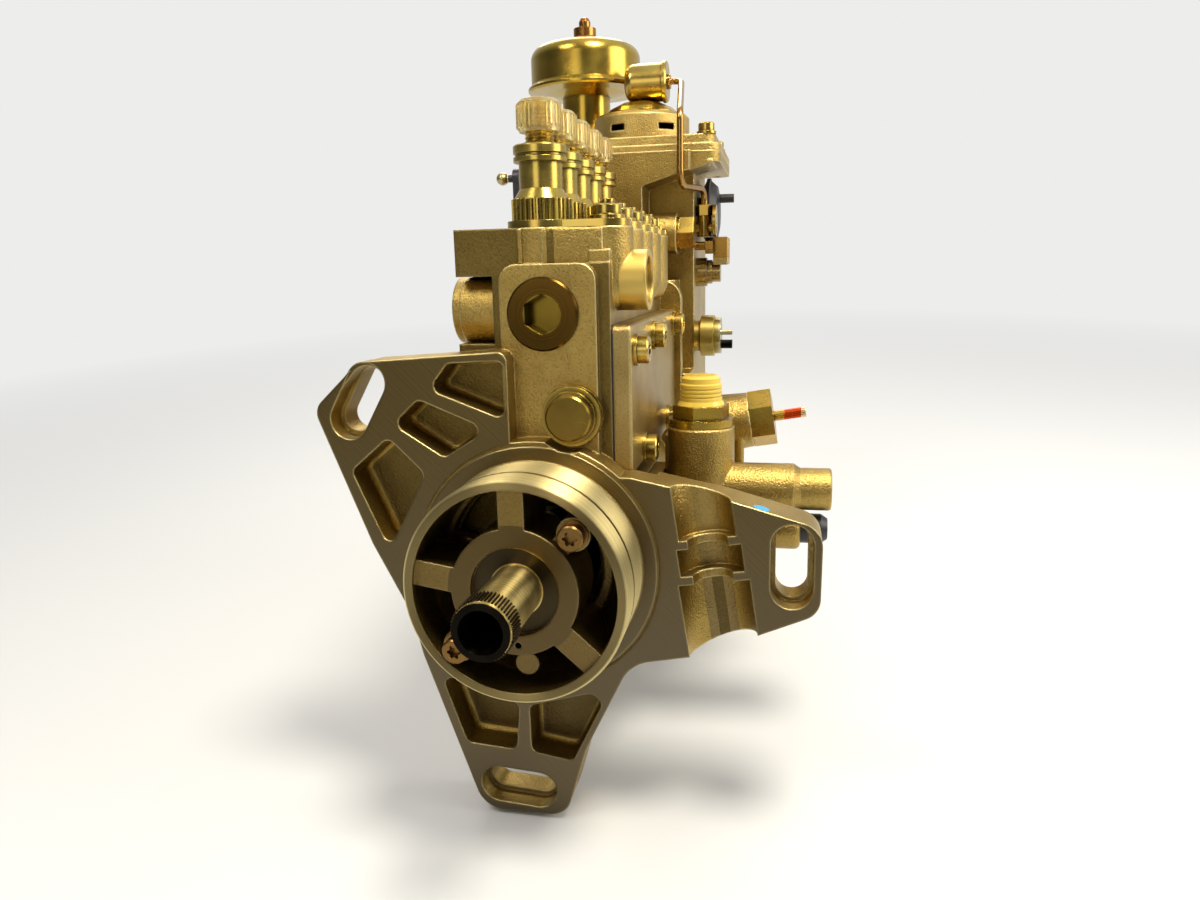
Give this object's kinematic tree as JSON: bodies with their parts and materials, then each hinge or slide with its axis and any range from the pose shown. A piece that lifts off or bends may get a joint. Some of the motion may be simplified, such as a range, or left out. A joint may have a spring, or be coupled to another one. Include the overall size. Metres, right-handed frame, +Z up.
{
  "type": "diesel injection pump",
  "caption": "In-line diesel injection pump with an open three-arm mounting flange, splined hollow camshaft, rack-controlled plungers, governor housing and piston feed pump.",
  "frame": {"origin": "on the camshaft axis, in the plane of the flange's front mounting face", "axes": "+Y along the camshaft from the drive end to the governor, +Z up along the plungers, +X to the right seen from the drive end"},
  "size_m": [0.2115, 0.3504, 0.3853],
  "materials": {
    "cast_aluminium": "sand cast, fine grain",
    "machined_aluminium": "machined",
    "ground_steel": "ground and polished",
    "hardened_steel": "hardened, oiled",
    "yellow_zinc_steel": "yellow passivated zinc",
    "spring_steel": "oil tempered",
    "clear_plastic": "translucent, ribbed",
    "black_rubber": "matt",
    "black_steel": "black oxide",
    "copper_plated_steel": "copper plated"
  },
  "bodies": {
    "pump": {"pump_housing": "cast_aluminium", "bearing_outer_rings": "ground_steel", "bearing_retainer": "hardened_steel", "torx_screws": "yellow_zinc_steel", "seals": "black_rubber", "side_cover": "cast_aluminium", "front_plugs": "yellow_zinc_steel", "element_plate": "yellow_zinc_steel", "element_nuts": "yellow_zinc_steel", "flanged_barrels": "hardened_steel", "valve_holders": "yellow_zinc_steel", "protective_caps": "clear_plastic", "delivery_valves": "hardened_steel", "valve_springs": "spring_steel", "governor_housing": "cast_aluminium", "governor_cover": "cast_aluminium", "governor_lid": "cast_aluminium", "turret_dome": "cast_aluminium", "idle_unit": "yellow_zinc_steel", "vacuum_pipe": "copper_plated_steel", "capsule_can": "yellow_zinc_steel", "capsule_adjuster": "yellow_zinc_steel", "shutoff_unit": "black_steel", "fittings": "yellow_zinc_steel", "load_switch": "machined_aluminium", "feed_pump_body": "cast_aluminium", "feed_pump_fittings": "yellow_zinc_steel", "feed_end_plug": "black_steel", "plunger_spring_1": "spring_steel", "plunger_spring_2": "spring_steel", "plunger_spring_3": "spring_steel", "plunger_spring_4": "spring_steel", "plunger_spring_5": "spring_steel"},
    "camshaft": {"camshaft": "ground_steel", "bearing_inner_rings": "ground_steel", "governor_hub": "hardened_steel"},
    "flyweight_1": {"flyweight_1": "hardened_steel"},
    "flyweight_2": {"flyweight_2": "hardened_steel"},
    "governor_sleeve": {"governor_sleeve": "hardened_steel"},
    "tappet_1": {"tappet_1": "hardened_steel"},
    "tappet_2": {"tappet_2": "hardened_steel"},
    "tappet_3": {"tappet_3": "hardened_steel"},
    "tappet_4": {"tappet_4": "hardened_steel"},
    "tappet_5": {"tappet_5": "hardened_steel"},
    "sleeve_1": {"control_sleeve_1": "hardened_steel"},
    "sleeve_2": {"control_sleeve_2": "hardened_steel"},
    "sleeve_3": {"control_sleeve_3": "hardened_steel"},
    "sleeve_4": {"control_sleeve_4": "hardened_steel"},
    "sleeve_5": {"control_sleeve_5": "hardened_steel"},
    "plunger_1": {"plunger_1": "ground_steel"},
    "plunger_2": {"plunger_2": "ground_steel"},
    "plunger_3": {"plunger_3": "ground_steel"},
    "plunger_4": {"plunger_4": "ground_steel"},
    "plunger_5": {"plunger_5": "ground_steel"},
    "rack": {"control_rack": "hardened_steel"},
    "governor_lever": {"governor_lever": "hardened_steel"},
    "throttle": {"throttle_lever": "black_steel"},
    "shutoff": {"shutoff_rod": "hardened_steel"},
    "feed_piston": {"feed_piston": "hardened_steel", "feed_spring": "spring_steel"}
  },
  "joints": [
    {"name": "camshaft_spin", "type": "hinge", "parent": "pump", "child": "camshaft", "pos_m": [0, 0, 0], "axis": [0, 1, 0], "continuous": true},
    {"name": "governor_sleeve_slide", "type": "slide", "parent": "camshaft", "child": "governor_sleeve", "axis": [0, 1, 0], "range_m": [0, 0.00175], "stiffness_N_per_m": 200, "springref_m": -0.01},
    {"name": "flyweight_swing_1", "type": "hinge", "parent": "camshaft", "child": "flyweight_1", "pos_m": [0, 0.178, 0.017], "axis": [1, 0, 0], "range_deg": [0, 12]},
    {"name": "flyweight_swing_2", "type": "hinge", "parent": "camshaft", "child": "flyweight_2", "pos_m": [0, 0.178, -0.017], "axis": [-1, 0, 0], "range_deg": [0, 12]},
    {"name": "tappet_slide_1", "type": "slide", "parent": "pump", "child": "tappet_1", "axis": [0, 0, 1], "range_m": [0, 0.007], "stiffness_N_per_m": 200, "springref_m": -0.01, "deforming": ["plunger_spring_1"]},
    {"name": "tappet_slide_2", "type": "slide", "parent": "pump", "child": "tappet_2", "axis": [0, 0, 1], "range_m": [0, 0.007], "stiffness_N_per_m": 200, "springref_m": -0.01, "deforming": ["plunger_spring_2"]},
    {"name": "tappet_slide_3", "type": "slide", "parent": "pump", "child": "tappet_3", "axis": [0, 0, 1], "range_m": [0, 0.007], "stiffness_N_per_m": 200, "springref_m": -0.01, "deforming": ["plunger_spring_3"]},
    {"name": "tappet_slide_4", "type": "slide", "parent": "pump", "child": "tappet_4", "axis": [0, 0, 1], "range_m": [0, 0.007], "stiffness_N_per_m": 200, "springref_m": -0.01, "deforming": ["plunger_spring_4"]},
    {"name": "tappet_slide_5", "type": "slide", "parent": "pump", "child": "tappet_5", "axis": [0, 0, 1], "range_m": [0, 0.007], "stiffness_N_per_m": 200, "springref_m": -0.01, "deforming": ["plunger_spring_5"]},
    {"name": "rack_slide", "type": "slide", "parent": "pump", "child": "rack", "axis": [0, 1, 0], "range_m": [-0.0065, 0.0065]},
    {"name": "sleeve_turn_1", "type": "hinge", "parent": "pump", "child": "sleeve_1", "pos_m": [0, 0.029, 0.069], "axis": [0, 0, 1], "range_deg": [-24.5, 24.5]},
    {"name": "sleeve_turn_2", "type": "hinge", "parent": "pump", "child": "sleeve_2", "pos_m": [0, 0.056, 0.069], "axis": [0, 0, 1], "range_deg": [-24.5, 24.5]},
    {"name": "sleeve_turn_3", "type": "hinge", "parent": "pump", "child": "sleeve_3", "pos_m": [0, 0.083, 0.069], "axis": [0, 0, 1], "range_deg": [-24.5, 24.5]},
    {"name": "sleeve_turn_4", "type": "hinge", "parent": "pump", "child": "sleeve_4", "pos_m": [0, 0.11, 0.069], "axis": [0, 0, 1], "range_deg": [-24.5, 24.5]},
    {"name": "sleeve_turn_5", "type": "hinge", "parent": "pump", "child": "sleeve_5", "pos_m": [0, 0.137, 0.069], "axis": [0, 0, 1], "range_deg": [-24.5, 24.5]},
    {"name": "plunger_slide_1", "type": "slide", "parent": "sleeve_1", "child": "plunger_1", "axis": [0, 0, 1], "range_m": [0, 0.007]},
    {"name": "plunger_slide_2", "type": "slide", "parent": "sleeve_2", "child": "plunger_2", "axis": [0, 0, 1], "range_m": [0, 0.007]},
    {"name": "plunger_slide_3", "type": "slide", "parent": "sleeve_3", "child": "plunger_3", "axis": [0, 0, 1], "range_m": [0, 0.007]},
    {"name": "plunger_slide_4", "type": "slide", "parent": "sleeve_4", "child": "plunger_4", "axis": [0, 0, 1], "range_m": [0, 0.007]},
    {"name": "plunger_slide_5", "type": "slide", "parent": "sleeve_5", "child": "plunger_5", "axis": [0, 0, 1], "range_m": [0, 0.007]},
    {"name": "governor_lever_swing", "type": "hinge", "parent": "pump", "child": "governor_lever", "pos_m": [0, 0.217, -0.045], "axis": [1, 0, 0], "range_deg": [-4, 4]},
    {"name": "throttle_lever_turn", "type": "hinge", "parent": "pump", "child": "throttle", "pos_m": [-0.07, 0.23, 0.142], "axis": [1, 0, 0], "range_deg": [0, 50]},
    {"name": "shutoff_rod_slide", "type": "slide", "parent": "pump", "child": "shutoff", "axis": [1, 0, 0], "range_m": [0, 0.005], "stiffness_N_per_m": 200, "springref_m": -0.01},
    {"name": "feed_piston_slide", "type": "slide", "parent": "pump", "child": "feed_piston", "axis": [1, 0, 0], "range_m": [0, 0.006], "stiffness_N_per_m": 200, "springref_m": -0.01}
  ],
  "couplings": [
    {"joint": "flyweight_swing_1", "follows": "governor_sleeve_slide", "rad_per_m": 119.05},
    {"joint": "flyweight_swing_2", "follows": "governor_sleeve_slide", "rad_per_m": 119.05},
    {"joint": "sleeve_turn_1", "follows": "rack_slide", "rad_per_m": 64.516},
    {"joint": "sleeve_turn_2", "follows": "rack_slide", "rad_per_m": 64.516},
    {"joint": "sleeve_turn_3", "follows": "rack_slide", "rad_per_m": 64.516},
    {"joint": "sleeve_turn_4", "follows": "rack_slide", "rad_per_m": 64.516},
    {"joint": "sleeve_turn_5", "follows": "rack_slide", "rad_per_m": 64.516},
    {"joint": "plunger_slide_1", "follows": "tappet_slide_1", "ratio": 1},
    {"joint": "plunger_slide_2", "follows": "tappet_slide_2", "ratio": 1},
    {"joint": "plunger_slide_3", "follows": "tappet_slide_3", "ratio": 1},
    {"joint": "plunger_slide_4", "follows": "tappet_slide_4", "ratio": 1},
    {"joint": "plunger_slide_5", "follows": "tappet_slide_5", "ratio": 1},
    {"joint": "governor_lever_swing", "follows": "rack_slide", "rad_per_m": -9.3985}
  ]
}
